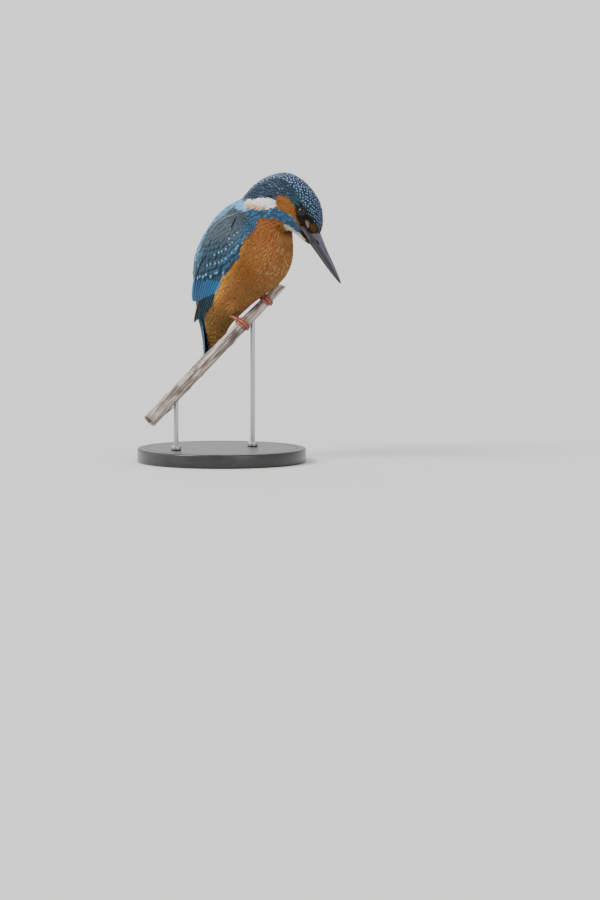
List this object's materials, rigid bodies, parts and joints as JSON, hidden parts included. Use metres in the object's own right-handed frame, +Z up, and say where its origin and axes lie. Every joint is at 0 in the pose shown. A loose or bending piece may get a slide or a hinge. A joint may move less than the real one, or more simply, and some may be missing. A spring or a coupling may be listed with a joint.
{
  "type": "kingfisher",
  "caption": "Life-size common kingfisher with its head bowed and long bill pointing down, wings folded, gripping a slanting reed held over a round base.",
  "frame": {"origin": "on the base's underside, right below the middle of the bird", "axes": "+Z up, +X the way the bird faces, +Y to the bird's left; the bird is symmetric about the plane Y = 0"},
  "size_m": [0.13, 0.108, 0.1859],
  "materials": {
    "head_feathers": "dark blue feathers with pale blue spots",
    "neck_feathers": "white and orange feathers with a blue stripe",
    "body_feathers": "orange feathers, soft",
    "tail_feathers": "blue feathers",
    "wing_feathers": "blue feathers with pale blue tips",
    "flight_feathers": "blue and near-black feathers",
    "leg": "coral red scaly skin",
    "claw": "dark horn",
    "eye": "near-black, wet",
    "bill": "dark horn, satin",
    "reed": "dry weathered reed",
    "base": "black satin lacquer",
    "rod": "brushed"
  },
  "bodies": {
    "root": {"head": "head_feathers", "neck": "neck_feathers", "trunk": "body_feathers", "tail": "tail_feathers", "wing_right": "wing_feathers", "wing_left": "wing_feathers", "flight_feathers_right": "flight_feathers", "flight_feathers_left": "flight_feathers", "thigh_right": "body_feathers", "thigh_left": "body_feathers", "leg_right": "leg", "leg_left": "leg", "claw_right_hind": "claw", "claw_right_inner": "claw", "claw_right_middle": "claw", "claw_right_outer": "claw", "claw_left_hind": "claw", "claw_left_inner": "claw", "claw_left_middle": "claw", "claw_left_outer": "claw", "eye_right": "eye", "eye_left": "eye", "bill_upper": "bill", "bill_lower": "bill", "reed_perch": "reed", "stand_base": "base", "stand_rod_upper": "rod", "stand_rod_lower": "rod"}
  },
  "joints": []
}
